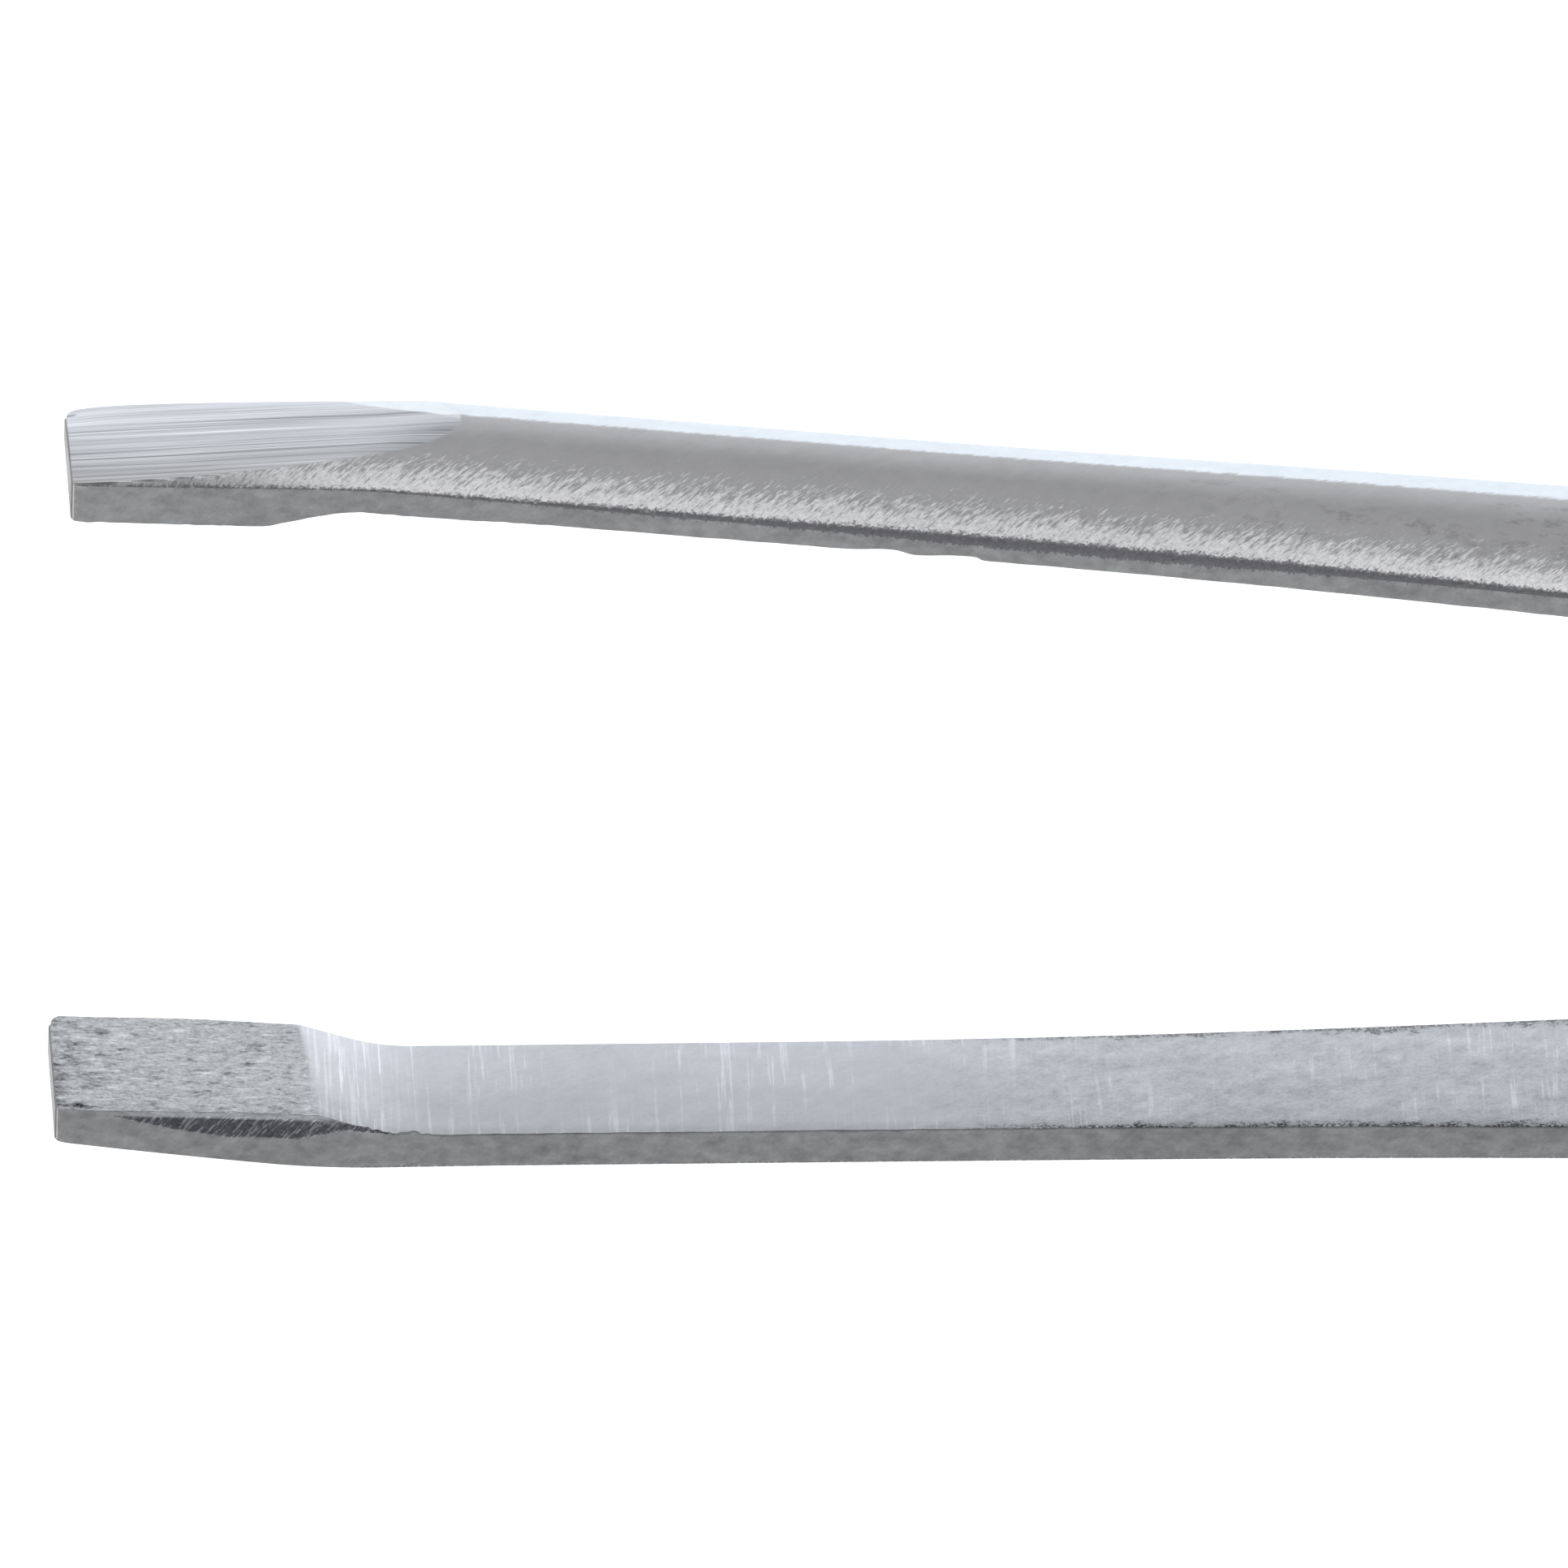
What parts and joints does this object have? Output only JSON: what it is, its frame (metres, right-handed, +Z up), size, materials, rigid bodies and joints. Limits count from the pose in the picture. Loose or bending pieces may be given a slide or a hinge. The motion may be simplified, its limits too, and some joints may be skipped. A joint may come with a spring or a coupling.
{
  "type": "blunt tip tweezers",
  "caption": "Steel tweezers with broad blunt tips, raised flat gripping pads, slim relieved blades and a welded rounded butt.",
  "frame": {"origin": "on the ground, under the middle of the tweezers lying on their side", "axes": "+X runs from the tips to the butt, +Y is the way the upper arm opens, +Z is up, across the width of the arms"},
  "size_m": [0.12, 0.0165, 0.008],
  "materials": {
    "arm_steel": "satin linished stainless steel, wheel-ground at the tips"
  },
  "bodies": {
    "root": {"upper_arm": "arm_steel", "lower_arm": "arm_steel"}
  },
  "joints": []
}
